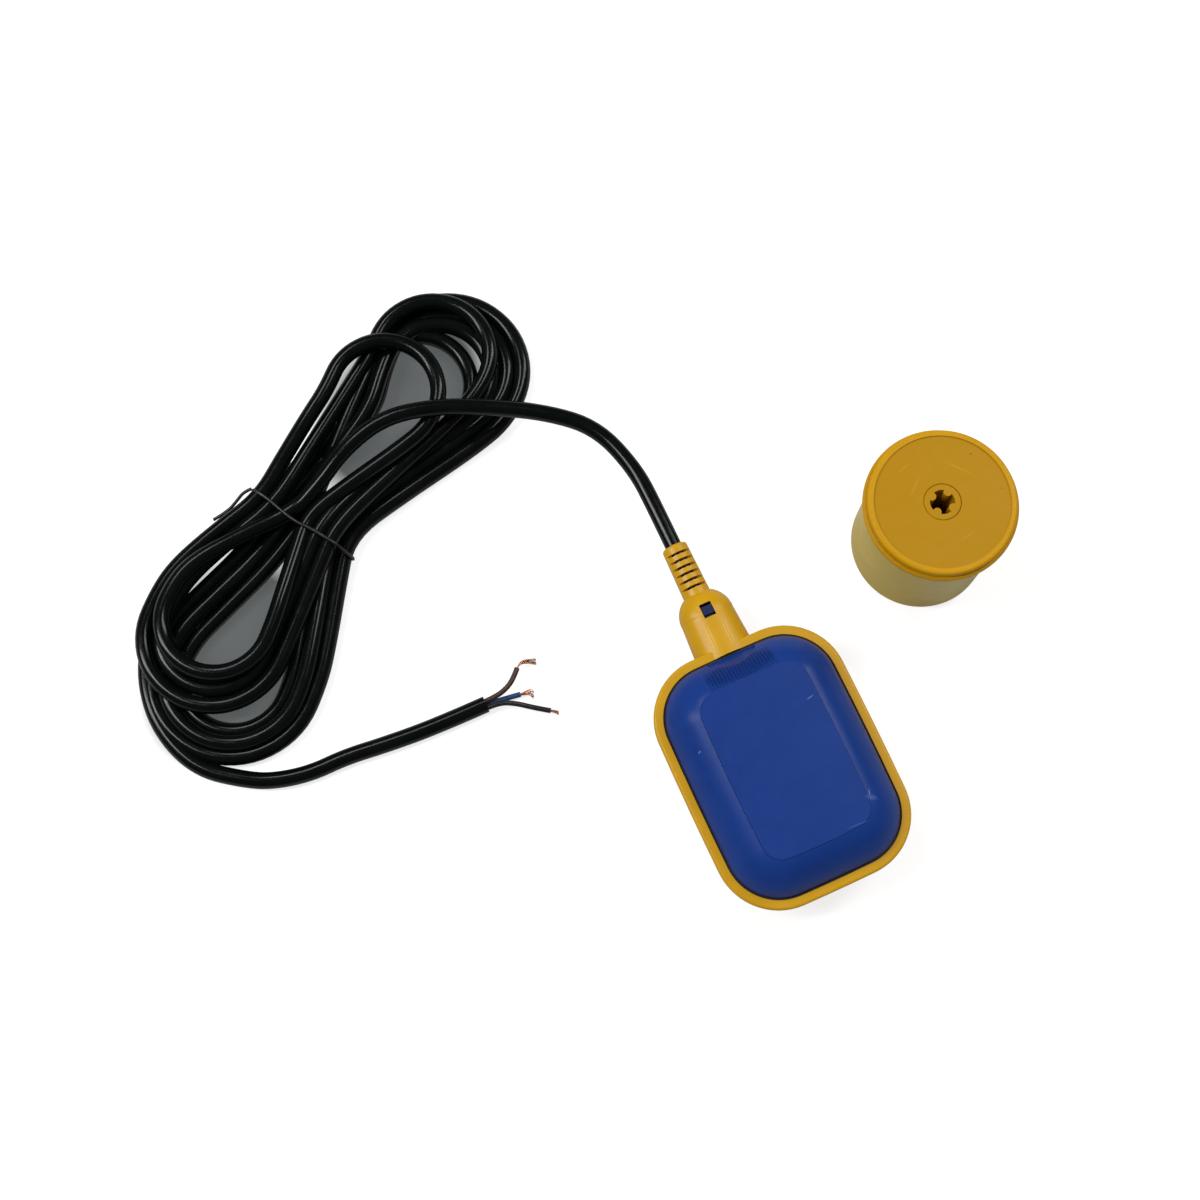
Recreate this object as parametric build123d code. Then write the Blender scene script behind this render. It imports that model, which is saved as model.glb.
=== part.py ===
from build123d import *
import math
import os

# Cable float switch with its loose counterweight, in millimetres.
# The float lies flat with its blue cover up. The origin is at the middle of the float's body, on the
# surface it lies on. +Y runs along the float towards its neck and +Z is up.

# Float body
BODY_WIDTH = 81.0
BODY_LENGTH = 105.5
BODY_CORNER = 25.4
BODY_THICKNESS = 41.5
SIDE_BOW = 0.8
PAD_BORDER_SHARE = 0.2125
PAD_RAISE = 0.5
PAD_STEP = 0.3
DOME_POWER = 1.4
WIDEST_Z = 24.4
RIM_TOP_Z = 27.2
SHELL_WALL = 2.4
RIM_WALL = 3.7
RIM_ROUND = 1.1
LEDGE_Z = 22.8
LEDGE_WIDTH = 2.8
FIT_GAP = 0.1

# Gasket between shell and cover
SEAL_THICKNESS = 0.8
SEAL_TOP_Z = 26.4

# Cover
COVER_WALL = 2.3
COVER_EDGE_Z = 28.0
PAD_ROUND = 0.2
RIB_HEIGHT = 0.4
RIB_WIDTH = 0.6
RIB_PITCH = 1.35
RIB_BAND = 28.0
RIB_LENGTH = 8.0
RIB_GAP = 0.5
THUMB_RADIUS = 10.7
THUMB_DEPTH = 0.8
THUMB_SLOPE = (0, 0.84, 0.54)
TONGUE_WIDTH = 4.2
TONGUE_THICKNESS = 1.8
TONGUE_GAP = 0.25
HOOK_GAP = 0.4
HOOK_LENGTH = 3.6
HOOK_TOP_Z = 27.0

# Neck, strain relief boot and latch window
NECK_AXIS_Z = 18.0
NECK_BASE_WIDTH = 26.0
NECK_SHOULDER_WIDTH = 22.6
NECK_LENGTH = 24.5
NECK_SHOULDER_LENGTH = 10.0
NECK_STEP = 0.8
NECK_WALL = 2.4
NECK_FLATNESS = 0.84
NECK_FILLET = 2.0
BULKHEAD = 1.5
NECK_ROOT_DEPTH = 12.5
BOOT_LENGTH = 22.7
BOOT_BASE_DIAMETER = 11.6
BOOT_TIP_DIAMETER = 10.6
BOOT_TIP_ROUND = 1.2
SLOT_COUNT = 6
SLOT_FROM_TIP = 4.2
SLOT_WEB = 2.2
SLOT_PITCH = 3.05
SLOT_WIDTH = 1.1
WINDOW_WIDTH = 5.0
WINDOW_LENGTH = 6.0
WINDOW_FROM_BODY = 16.0

# Cable and cores
CABLE_DIAMETER = 7.0
CORE_DIAMETER = 2.2
STRAND_DIAMETER = 1.3
CABLE_BORE_GAP = 0.05
JACKET_END_Y = 34.0

GROMMET_DIAMETER = 11.0
GROMMET_FLANGE = 14.0
GROMMET_LIP = 1.2
FERRULE_DIAMETER = 10.0
FERRULE_LENGTH = 5.0
FERRULE_FROM_BODY = 11.5
POTTING_LENGTH = 8.0

# Sealed capsule inside the float
CAPSULE_WIDTH = 38.0
CAPSULE_LENGTH = 80.0
CAPSULE_BASE_Z = 9.0
CAPSULE_HEIGHT = 22.0
CAPSULE_WALL = 1.8
CAPSULE_CORNER = 5.0
LID_THICKNESS = 2.0
LID_LIP = 2.0
LID_LIP_WALL = 1.5
GASKET_THICKNESS = 0.8
POCKET_GAP = 0.3
SCREW_DIAMETER = 2.2
SCREW_HEAD = 4.0
SCREW_HEAD_HEIGHT = 1.4
SCREW_LENGTH = 7.0
POST_DIAMETER = 5.0

# Ball and its track
BALL_DIAMETER = 16.0
BALL_TRAVEL = 20.0
TRACK_FLOOR = 1.5
TRACK_WALL = 1.4
TRACK_HEIGHT = 8.0
BALL_SIDE_GAP = 0.3
BALL_STOP_GAP = 0.4

# Snap-action switch
SWITCH_WIDTH = 27.8
SWITCH_DEPTH = 15.9
SWITCH_THICKNESS = 10.3
SWITCH_COVER = 1.6
SWITCH_FRONT_Y = -13.0
PLUNGER_DIAMETER = 2.4
PLUNGER_TRAVEL = 1.2
PLUNGER_LENGTH = 5.0
PLUNGER_GAP = 0.05
LEVER_PIVOT_X = 9.5
PLUNGER_FROM_PIVOT = 7.6
LEVER_LENGTH = 23.0
LEVER_WIDTH = 4.0
LEVER_THICKNESS = 0.5
LEVER_ANGLE = 9.0
LEVER_PIN_DIAMETER = 1.2
LEVER_CLEARANCE = 0.1
TERMINAL_WIDTH = 4.8
TERMINAL_THICKNESS = 0.8
TERMINAL_LENGTH = 6.3
TERMINAL_PITCH = 8.5
TERMINAL_ROOT = 3.0
TERMINAL_HOLE = 1.6
SWITCH_HOLE_SPACING = 22.2
SWITCH_HOLE_INSET = 2.9
SWITCH_SCREW = 3.0
SWITCH_SCREW_HEAD = 5.4
EAR_THICKNESS = 0.9
EAR_RADIUS = 1.7
LEVER_KNUCKLE_RADIUS = 1.15

# Counterweight
WEIGHT_X = 96.2
WEIGHT_Y = 63.7
WEIGHT_DIAMETER = 55.8
WEIGHT_HEIGHT = 60.9
WEIGHT_WALL = 2.0
CAP_FLANGE_REACH = 2.6
CAP_FLANGE_FROM_TOP = 6.7
CAP_FLANGE_THICKNESS = 3.0
CAP_RING_REACH = 1.4
CAP_RING_WIDTH = 2.5
CAP_FACE_RECESS = 0.6
CAP_PLATE = 2.4
CAP_PLUG_DEPTH = 5.0
SLEEVE_DIAMETER = 14.6
SLEEVE_BORE = 9.2
SLEEVE_GAP = 0.15
TOOTH_COUNT = 4
TOOTH_DIAMETER = 3.3
TOOTH_HEIGHT = 7.0
TOOTH_TURN = 37.0
TOOTH_SEAT_BORE = 9.8
SLUG_SIDE_GAP = 0.4
SLUG_BORE_GAP = 0.4
SLUG_HEIGHT = 18.0
SLUG_SEAT_GAP = 0.1

# Hank of spare cable and its tie
HANK_HEIGHT = 16.0
HANK_EDGE = 5.0
TIE_THICKNESS = 1.4
TIE_WIDTH = 1.8
TIE_SPAN = 50.0
TIE_X = -133.5
TIE_Y = 175.0
TIE_TURN = -58.9
TIE_CORNER = 5.0
TIE_END_LENGTH = 15.0
TIE_GAP = 0.1
TIE_END_TILT = 115.0
UPPER_GAP_PLACE = (-71, 215, 0)
UPPER_GAP_SIZE = (9.5, 6.0)
UPPER_GAP_TURN = 40.0
LOWER_GAP_PLACE = (-176, 151, 0)
LOWER_GAP_SIZE = (19.0, 5.5)
LOWER_GAP_TURN = 28.0

PAD_INSET = PAD_BORDER_SHARE * BODY_WIDTH
COVER_INSET = RIM_WALL + SEAL_THICKNESS + FIT_GAP
NECK_END_Y = BODY_LENGTH / 2 + NECK_LENGTH
BOOT_END_Y = NECK_END_Y + BOOT_LENGTH
CABLE_RADIUS = CABLE_DIAMETER / 2
CAPSULE_FLOOR_Z = CAPSULE_BASE_Z + CAPSULE_WALL
CAPSULE_TOP_Z = CAPSULE_BASE_Z + CAPSULE_HEIGHT
LID_Z = CAPSULE_TOP_Z + GASKET_THICKNESS
BALL_RADIUS = BALL_DIAMETER / 2
BALL_Z = CAPSULE_FLOOR_Z + TRACK_FLOOR + BALL_RADIUS + FIT_GAP / 2
LEVER_PIVOT_Y = SWITCH_FRONT_Y + LEVER_KNUCKLE_RADIUS + 0.3
LEVER_FACE_Y = LEVER_PIVOT_Y + LEVER_THICKNESS / 2
BALL_PRESSED_Y = LEVER_FACE_Y + BALL_SIDE_GAP + BALL_RADIUS
BALL_REST_Y = BALL_PRESSED_Y + BALL_TRAVEL
SWITCH_BACK_Y = SWITCH_FRONT_Y - SWITCH_DEPTH
SWITCH_LOW_Z = BALL_Z - SWITCH_THICKNESS / 2
SWITCH_TOP_Z = BALL_Z + SWITCH_THICKNESS / 2
POST_X = CAPSULE_WIDTH / 2 - CAPSULE_WALL - POST_DIAMETER / 2 + 0.5
POST_Y = CAPSULE_LENGTH / 2 - CAPSULE_WALL - POST_DIAMETER / 2 + 0.5
CAP_FLANGE_Z = WEIGHT_HEIGHT - CAP_FLANGE_FROM_TOP
CAP_FLANGE_RADIUS = WEIGHT_DIAMETER / 2 + CAP_FLANGE_REACH
CAP_RING_RADIUS = WEIGHT_DIAMETER / 2 + CAP_RING_REACH
CAP_FACE_RADIUS = CAP_RING_RADIUS - CAP_RING_WIDTH
SLUG_RADIUS = WEIGHT_DIAMETER / 2 - WEIGHT_WALL - SLUG_SIDE_GAP
SLUG_BORE_RADIUS = SLEEVE_DIAMETER / 2 + SLUG_BORE_GAP

# Routes of the cable and its cores, as chosen points
LEAD_ROUTE = [
    (0, 99.95, 18), (0, 118, 18), (-0.4, 137, 17.2), (-7.5, 160, 16.8), (-24, 174.5, 17.6),
    (-46, 186, 20.4), (-66, 194.8, 21.4), (-87, 199, 21.0), (-107, 192.5, 19.8), (-126, 185.4, 17.4),
]
TAIL_ROUTE = [
    (-197.5, 87, 3.5), (-187.5, 81.4, 3.5), (-172, 77.8, 3.5), (-156, 78.2, 3.5), (-139.5, 76.2, 3.5),
    (-117.5, 74.6, 3.5), (-95.5, 74.6, 3.5),
]
HANK_OUTLINE = [
    (-41, 243), (-23, 221), (-24, 194), (-47, 178), (-86, 166), (-120, 155), (-138, 130), (-153, 110),
    (-172, 94), (-197, 86), (-213, 101), (-220, 128), (-214, 155), (-190, 180), (-147, 196),
    (-120, 212), (-94, 234), (-62, 247),
]
CORE_ROUTES = {
    "brown": [(-95.5, 75.7, 4.2), (-90, 75.7, 4.2), (-84.6, 77.3, 4.6), (-81, 79.8, 4.4), (-78, 83, 4.0)],
    "blue": [(-95.5, 74.3, 1.9), (-90.8, 74.3, 1.9), (-86, 73.6, 1.6), (-81, 72.9, 1.6)],
    "black": [(-95.5, 72.8, 4.4), (-90.5, 72.8, 4.4), (-84.5, 70.1, 3.2), (-78.5, 65.7, 1.7),
              (-72.5, 61.6, 1.4)],
}
STRAND_ROUTES = {
    "brown": [(-78, 83, 4.0), (-76.5, 84.6, 3.8), (-73.6, 84.4, 2.8), (-69.8, 82.6, 2.2)],
    "blue": [(-81, 72.9, 1.6), (-79.2, 72.648, 1.6), (-77.3, 72.2, 2.2), (-76.2, 70.4, 2.0)],
    "black": [(-72.5, 61.6, 1.4), (-71.3, 60.78, 1.34), (-69.9, 59.4, 1.0)],
}
INNER_CORE_ROUTES = {
    "brown": [(-1.5, 34, 17.2), (-4.5, 30.2, 17), (-11.6, 28, 16.4), (-15, 20, 15.5), (-15.6, 0, 15.2),
              (-15.5, -20, 15.4), (-14.9, -31.2, 17), (-9.5, -33, 19.6)],
    "blue": [(1.5, 34, 17.2), (4.5, 30.2, 16.6), (11.6, 28, 15.4), (15, 20, 14.4), (15.6, 0, 14.2),
             (15.5, -20, 14.4), (14.9, -31.2, 16.4), (9.55, -33, 19.6)],
    "black": [(0, 34, 19.6), (2.5, 30.6, 21), (10.8, 28.2, 24), (15, 20, 25.2), (15.6, 0, 25.2),
              (15.4, -20, 25.6), (12.2, -31, 25.4), (6, -32.8, 23.6), (0.8, -33.2, 21.8)],
}

os.makedirs("parts", exist_ok=True)


def outline(inset, z):
    """Face of the float's rounded outline at a height, moved in by an inset."""
    half_width = BODY_WIDTH / 2 - inset
    half_length = BODY_LENGTH / 2 - inset
    corner_x = half_width - SIDE_BOW
    corner_y = half_length - SIDE_BOW
    edges = [
        ThreePointArc((corner_x, -corner_y), (half_width, 0), (corner_x, corner_y)),
        ThreePointArc((corner_x, corner_y), (0, half_length), (-corner_x, corner_y)),
        ThreePointArc((-corner_x, corner_y), (-half_width, 0), (-corner_x, -corner_y)),
        ThreePointArc((-corner_x, -corner_y), (0, -half_length), (corner_x, -corner_y)),
    ]
    face = make_face(edges)
    face = fillet(face.vertices(), BODY_CORNER - inset)
    return Pos(0, 0, z) * face


def dome(edge_inset, edge_z, top_inset, top_z, levels=5):
    """Solid between two outlines whose side curves over from steep at the edge to flat at the top."""
    faces = []
    for i in range(levels):
        rise = i / (levels - 1)
        curve = 1 - (1 - rise ** DOME_POWER) ** (1 / DOME_POWER)
        inset = edge_inset + (top_inset - edge_inset) * curve
        faces.append(outline(inset, edge_z + (top_z - edge_z) * rise))
    if top_z < edge_z:
        faces.reverse()
    return loft(faces)


def prism(inset, low_z, high_z):
    """Straight-sided solid of the float's outline."""
    return extrude(outline(inset, low_z), high_z - low_z)


def along_y(radius, start_y, end_y, x=0.0, z=NECK_AXIS_Z):
    """Round bar along Y."""
    bar = Cylinder(radius, end_y - start_y, align=(Align.CENTER, Align.CENTER, Align.MIN))
    return Pos(x, start_y, z) * Rot(-90, 0, 0) * bar


def block(low, high):
    """Box between two corners."""
    size = [h - l for l, h in zip(low, high)]
    return Pos(*low) * Box(*size, align=(Align.MIN, Align.MIN, Align.MIN))


def route_tube(name, points, diameter):
    """Round tube along straight runs joined by arcs as large as the runs allow."""
    vectors = [Vector(*p) for p in points]
    radii = []
    for before, here, after in zip(vectors, vectors[1:], vectors[2:]):
        turn = math.radians((here - before).get_angle(after - here))
        shorter = min((here - before).length, (after - here).length)
        radii.append(0.45 * shorter / math.tan(turn / 2))
    path = FilletPolyline(*vectors, radius=radii)
    section = Plane(origin=vectors[0], z_dir=path % 0) * Circle(diameter / 2)
    tube = sweep(section, path=path)
    expected = math.pi * diameter ** 2 / 4 * path.length
    print(name, "length", round(path.length, 1), "radii", [round(r, 1) for r in radii],
          "volume ratio", round(tube.volume / expected, 4))
    return tube


def turned(edges):
    """Flattened solid of revolution about the neck's axis, drawn as (radius, distance along Y)."""
    solid = Rot(0, 90, 0) * revolve(make_face(edges), Axis.Y)
    return Pos(0, 0, NECK_AXIS_Z) * scale(solid, (1, 1, NECK_FLATNESS))


def neck_blank(shrink, start_y):
    """Bulb of the neck: slightly tapered from the body, then rounded over to the boot."""
    base = NECK_BASE_WIDTH / 2 - shrink
    waist = NECK_SHOULDER_WIDTH / 2 - shrink
    tip = BOOT_BASE_DIAMETER / 2 + NECK_STEP - shrink
    end = NECK_END_Y - shrink
    shoulder = end - NECK_SHOULDER_LENGTH + shrink
    bulge = (waist + 0.45 * (tip - waist) * 0.62, shoulder + 0.62 * (end - shoulder))
    return turned([
        Line((0, start_y), (base, start_y)),
        Line((base, start_y), (waist, shoulder)),
        ThreePointArc((waist, shoulder), bulge, (tip, end)),
        Line((tip, end), (0, end)),
        Line((0, end), (0, start_y)),
    ])


# Yellow lower shell, moulded in one piece with the neck and the slotted boot
def make_outer_shell():
    rim = prism(0, WIDEST_Z, RIM_TOP_Z)
    rim = fillet(rim.faces().sort_by(Axis.Z)[-1].edges(), RIM_ROUND)
    body = dome(0, WIDEST_Z, PAD_INSET, PAD_RAISE) + rim
    body += prism(PAD_INSET + PAD_STEP, 0, PAD_RAISE + SHELL_WALL / 2)
    neck = neck_blank(0, BODY_LENGTH / 2 - NECK_ROOT_DEPTH)
    shell = body + neck
    junction = new_edges(body, neck, combined=shell).sort_by(Axis.Z)[:2]
    shell = fillet(junction, NECK_FILLET)
    boot = Pos(0, NECK_END_Y - 1, NECK_AXIS_Z) * Rot(-90, 0, 0) * Cone(
        BOOT_BASE_DIAMETER / 2, BOOT_TIP_DIAMETER / 2, BOOT_LENGTH + 1,
        align=(Align.CENTER, Align.CENTER, Align.MIN))
    boot = fillet(boot.edges().sort_by(Axis.Y)[-1], BOOT_TIP_ROUND)
    shell += boot

    inner_edge = RIM_WALL + LEDGE_WIDTH
    shell -= dome(inner_edge, LEDGE_Z, PAD_INSET + SHELL_WALL / 2, PAD_RAISE + SHELL_WALL)
    shell -= prism(inner_edge, LEDGE_Z, BODY_THICKNESS)
    shell -= prism(RIM_WALL, LEDGE_Z, BODY_THICKNESS)
    shell -= neck_blank(NECK_WALL, BODY_LENGTH / 2 + BULKHEAD)
    shell -= along_y(CABLE_RADIUS + CABLE_BORE_GAP, 0, BOOT_END_Y + 1)
    shell -= latch_window()
    shell -= tongue_slot(TONGUE_GAP)
    for i in range(SLOT_COUNT):
        shell -= boot_slot(BOOT_END_Y - SLOT_FROM_TIP - i * SLOT_PITCH)
    return shell


def boot_slot(y):
    """Pair of slots through the top and the underside of the boot, leaving a web at each side."""
    outer = BOOT_BASE_DIAMETER / 2 + 1
    ring = along_y(outer, y - SLOT_WIDTH / 2, y + SLOT_WIDTH / 2)
    web = block((-outer, y - 1, NECK_AXIS_Z - SLOT_WEB), (outer, y + 1, NECK_AXIS_Z + SLOT_WEB))
    return ring - web


def tongue_slot(gap_below):
    """Slot through the gasket's upstand and the end wall for the cover's tongue."""
    half = TONGUE_WIDTH / 2 + TONGUE_GAP
    low = (-half, BODY_LENGTH / 2 - COVER_INSET - 1, tongue_low_z() - gap_below)
    high = (half, BODY_LENGTH / 2 + BULKHEAD + 1, tongue_low_z() + TONGUE_THICKNESS + TONGUE_GAP)
    return block(low, high)


def tongue_low_z():
    """Underside of the tongue, level with the cover's foot on the gasket."""
    return LEDGE_Z + SEAL_THICKNESS


def latch_window():
    """Square hole in the top of the neck, which the cover's tongue snaps into."""
    mid_y = BODY_LENGTH / 2 + WINDOW_FROM_BODY
    low = (-WINDOW_WIDTH / 2, mid_y - WINDOW_LENGTH / 2, NECK_AXIS_Z + 3)
    high = (WINDOW_WIDTH / 2, mid_y + WINDOW_LENGTH / 2, BODY_THICKNESS)
    return block(low, high)


# Blue cover with its raised pad, fine ribs, thumb recess and latch tongue
def make_top_cover():
    pad_z = BODY_THICKNESS - PAD_RAISE
    foot_z = LEDGE_Z + SEAL_THICKNESS
    cover = dome(COVER_INSET, COVER_EDGE_Z, PAD_INSET, pad_z)
    cover += prism(COVER_INSET, foot_z, COVER_EDGE_Z)
    pad = prism(PAD_INSET + PAD_STEP, pad_z - PAD_STEP, BODY_THICKNESS)
    cover += fillet(pad.faces().sort_by(Axis.Z)[-1].edges(), PAD_ROUND)
    cover = cover + cover_ribs(pad_z) - thumb_recess()
    inner = COVER_INSET + COVER_WALL
    cover -= dome(inner, COVER_EDGE_Z, PAD_INSET + COVER_WALL / 2, pad_z - COVER_WALL)
    cover -= prism(inner, foot_z - 1, COVER_EDGE_Z)
    return cover + latch_tongue()


def thumb_recess():
    """Shallow half-round recess in the sloping border next to the neck."""
    slope = Plane(origin=(0, BODY_LENGTH / 2 - COVER_INSET, COVER_EDGE_Z), z_dir=THUMB_SLOPE)
    return slope * Pos(0, 0, -THUMB_DEPTH) * Cylinder(
        THUMB_RADIUS, 12, align=(Align.CENTER, Align.CENTER, Align.MIN))


def cover_ribs(pad_z):
    """Band of fine parallel ribs between the pad and the thumb recess."""
    skin = dome(COVER_INSET - RIB_HEIGHT, COVER_EDGE_Z, PAD_INSET - RIB_HEIGHT, pad_z + RIB_HEIGHT / 2)
    start_y = BODY_LENGTH / 2 - PAD_INSET + RIB_GAP
    count = int(RIB_BAND / RIB_PITCH) + 1
    ribs = []
    for i in range(count):
        x = (i - (count - 1) / 2) * RIB_PITCH
        low = (x - RIB_WIDTH / 2, start_y, COVER_EDGE_Z + 6)
        high = (x + RIB_WIDTH / 2, start_y + RIB_LENGTH, BODY_THICKNESS)
        ribs.append(block(low, high))
    return Part() + [rib & skin for rib in ribs]


def latch_tongue():
    """Tongue that runs under the neck's roof and ends in a hook in the latch window."""
    mid_y = BODY_LENGTH / 2 + WINDOW_FROM_BODY
    root_y = BODY_LENGTH / 2 - COVER_INSET - COVER_WALL / 2
    low_z = tongue_low_z()
    hook_x = WINDOW_WIDTH / 2 - HOOK_GAP
    strip = block((-TONGUE_WIDTH / 2, root_y, low_z),
                  (TONGUE_WIDTH / 2, mid_y + HOOK_LENGTH / 2, low_z + TONGUE_THICKNESS))
    hook = block((-hook_x, mid_y - HOOK_LENGTH / 2, low_z), (hook_x, mid_y + HOOK_LENGTH / 2, HOOK_TOP_Z))
    return strip + hook


# Black gasket: flat on the ledge, with an upstand that fills the gap round the cover's edge
def make_cover_seal():
    low = LEDGE_Z
    ring = prism(RIM_WALL + FIT_GAP / 2, low, low + SEAL_THICKNESS)
    ring -= prism(RIM_WALL + LEDGE_WIDTH - 0.4, low - 1, low + SEAL_THICKNESS + 1)
    upstand = prism(RIM_WALL + FIT_GAP / 2, low, SEAL_TOP_Z)
    upstand -= prism(COVER_INSET - FIT_GAP / 2, low - 1, SEAL_TOP_Z + 1)
    return ring + upstand - tongue_slot(0)


# Foam block that fills the float round the capsule and keeps it afloat
def make_foam_core():
    side = max(RIM_WALL + LEDGE_WIDTH, COVER_INSET + COVER_WALL) + POCKET_GAP
    join_z = (LEDGE_Z + COVER_EDGE_Z) / 2
    low_z = PAD_RAISE + SHELL_WALL + POCKET_GAP
    high_z = BODY_THICKNESS - PAD_RAISE - COVER_WALL - POCKET_GAP
    foam = dome(side, join_z, PAD_INSET + SHELL_WALL, low_z)
    foam += dome(side, join_z, PAD_INSET + COVER_WALL, high_z)
    foam -= capsule_envelope(POCKET_GAP)
    flange_end = CAPSULE_LENGTH / 2 + GROMMET_LIP + POCKET_GAP
    foam -= along_y(GROMMET_FLANGE / 2 + POCKET_GAP, CAPSULE_LENGTH / 2 - 1, flange_end)
    return foam - along_y(CABLE_RADIUS + POCKET_GAP, CAPSULE_LENGTH / 2 - 1, BODY_LENGTH)


def rounded_prism(width, length, corner, low_z, high_z):
    """Upright block with rounded corners, centred on the float."""
    face = Pos(0, 0, low_z) * RectangleRounded(width, length, corner)
    return extrude(face, high_z - low_z)


def capsule_envelope(grow):
    """Outer form of the closed capsule, with its screw heads, grown by a gap."""
    top = LID_Z + LID_THICKNESS + SCREW_HEAD_HEIGHT + grow
    size = (CAPSULE_WIDTH + 2 * grow, CAPSULE_LENGTH + 2 * grow)
    return rounded_prism(*size, CAPSULE_CORNER, CAPSULE_BASE_Z - grow, top)


def corner_posts(diameter, low_z, high_z):
    """Four upright round posts or holes in the capsule's corners."""
    post = Cylinder(diameter / 2, high_z - low_z, align=(Align.CENTER, Align.CENTER, Align.MIN))
    places = [(x, y) for x in (-POST_X, POST_X) for y in (-POST_Y, POST_Y)]
    return Part() + [Pos(x, y, low_z) * post for x, y in places]


def capsule_wall(low_z, high_z):
    """Wall of the capsule with its corner posts, between two heights."""
    inner_size = (CAPSULE_WIDTH - 2 * CAPSULE_WALL, CAPSULE_LENGTH - 2 * CAPSULE_WALL)
    wall = rounded_prism(CAPSULE_WIDTH, CAPSULE_LENGTH, CAPSULE_CORNER, low_z, high_z)
    wall -= rounded_prism(*inner_size, CAPSULE_CORNER - CAPSULE_WALL, low_z - 1, high_z + 1)
    return wall + corner_posts(POST_DIAMETER, low_z, high_z)


def switch_hole_places():
    """Centres of the switch's two fixing holes, on a diagonal."""
    half = SWITCH_HOLE_SPACING / 2
    return [(-half, SWITCH_FRONT_Y - SWITCH_HOLE_INSET), (half, SWITCH_BACK_Y + SWITCH_HOLE_INSET)]


def upright(radius, low_z, high_z, x=0.0, y=0.0):
    """Upright round bar."""
    bar = Cylinder(radius, high_z - low_z, align=(Align.CENTER, Align.CENTER, Align.MIN))
    return Pos(x, y, low_z) * bar


# Capsule that keeps the switch dry
def make_capsule_base():
    size = (CAPSULE_WIDTH, CAPSULE_LENGTH)
    base = rounded_prism(*size, CAPSULE_CORNER, CAPSULE_BASE_Z, CAPSULE_FLOOR_Z)
    base += capsule_wall(CAPSULE_FLOOR_Z, CAPSULE_TOP_Z)
    for x, y in switch_hole_places():
        base += upright(SWITCH_SCREW_HEAD / 2, CAPSULE_FLOOR_Z, SWITCH_LOW_Z, x, y)
        base -= upright(SWITCH_SCREW / 2, CAPSULE_FLOOR_Z, SWITCH_LOW_Z + 1, x, y)
    base -= corner_posts(SCREW_DIAMETER, CAPSULE_TOP_Z - SCREW_LENGTH, CAPSULE_TOP_Z + 1)
    wall_y = CAPSULE_LENGTH / 2 - CAPSULE_WALL
    return base - along_y(GROMMET_DIAMETER / 2, wall_y - 1, wall_y + CAPSULE_WALL + 1)


def make_capsule_lid():
    size = (CAPSULE_WIDTH, CAPSULE_LENGTH)
    lid = rounded_prism(*size, CAPSULE_CORNER, LID_Z, LID_Z + LID_THICKNESS)
    lid = fillet(lid.faces().sort_by(Axis.Z)[-1].edges(), LID_THICKNESS / 3)
    side = 2 * (CAPSULE_WALL + FIT_GAP)
    lip_low = LID_Z - GASKET_THICKNESS - LID_LIP
    corner = CAPSULE_CORNER - CAPSULE_WALL - FIT_GAP
    lip = rounded_prism(CAPSULE_WIDTH - side, CAPSULE_LENGTH - side, corner, lip_low, LID_Z)
    side += 2 * LID_LIP_WALL
    corner -= LID_LIP_WALL
    lip -= rounded_prism(CAPSULE_WIDTH - side, CAPSULE_LENGTH - side, corner, lip_low - 1, LID_Z)
    lip -= corner_posts(POST_DIAMETER + 2 * FIT_GAP, lip_low - 1, LID_Z)
    return lid + lip - corner_posts(SCREW_DIAMETER + 2 * FIT_GAP, LID_Z - 1, LID_Z + LID_THICKNESS + 1)


def make_capsule_gasket():
    gasket = capsule_wall(CAPSULE_TOP_Z, LID_Z)
    return gasket - corner_posts(SCREW_DIAMETER + 2 * FIT_GAP, CAPSULE_TOP_Z - 1, LID_Z + 1)


def screw(diameter, head, head_height, length, head_z):
    """Cheese-head screw pointing down, with its head's underside at a height."""
    shank = upright(diameter / 2 - FIT_GAP / 2, head_z - length, head_z)
    top = upright(head / 2, head_z, head_z + head_height)
    slot_z = head_z + head_height / 2
    slot = block((-head, -head / 10, slot_z), (head, head / 10, slot_z + head_height))
    return shank + top - slot


def make_capsule_screws():
    head_z = LID_Z + LID_THICKNESS
    one = screw(SCREW_DIAMETER, SCREW_HEAD, SCREW_HEAD_HEIGHT, SCREW_LENGTH, head_z)
    places = [(x, y) for x in (-POST_X, POST_X) for y in (-POST_Y, POST_Y)]
    return Part() + [Pos(x, y, 0) * one for x, y in places]


# Steel ball and the trough that guides it
def make_ball_weight():
    return Pos(0, BALL_REST_Y, BALL_Z) * Sphere(BALL_RADIUS)


def make_ball_track():
    half = BALL_RADIUS + BALL_SIDE_GAP
    stop_y = BALL_REST_Y + BALL_RADIUS + BALL_STOP_GAP
    floor_end_y = LEVER_FACE_Y + 1
    wall_start_y = BALL_PRESSED_Y - BALL_RADIUS / 3
    top_z = CAPSULE_FLOOR_Z + TRACK_HEIGHT
    low = (-half - TRACK_WALL, floor_end_y, CAPSULE_FLOOR_Z)
    track = block(low, (half + TRACK_WALL, stop_y + TRACK_WALL, top_z))
    track -= block((-half, floor_end_y - 1, CAPSULE_FLOOR_Z + TRACK_FLOOR), (half, stop_y, top_z + 1))
    cut = half + TRACK_WALL + 1
    cut_z = CAPSULE_FLOOR_Z + TRACK_FLOOR + 1
    return track - block((-cut, floor_end_y - 1, cut_z), (cut, wall_start_y, top_z + 1))


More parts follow.
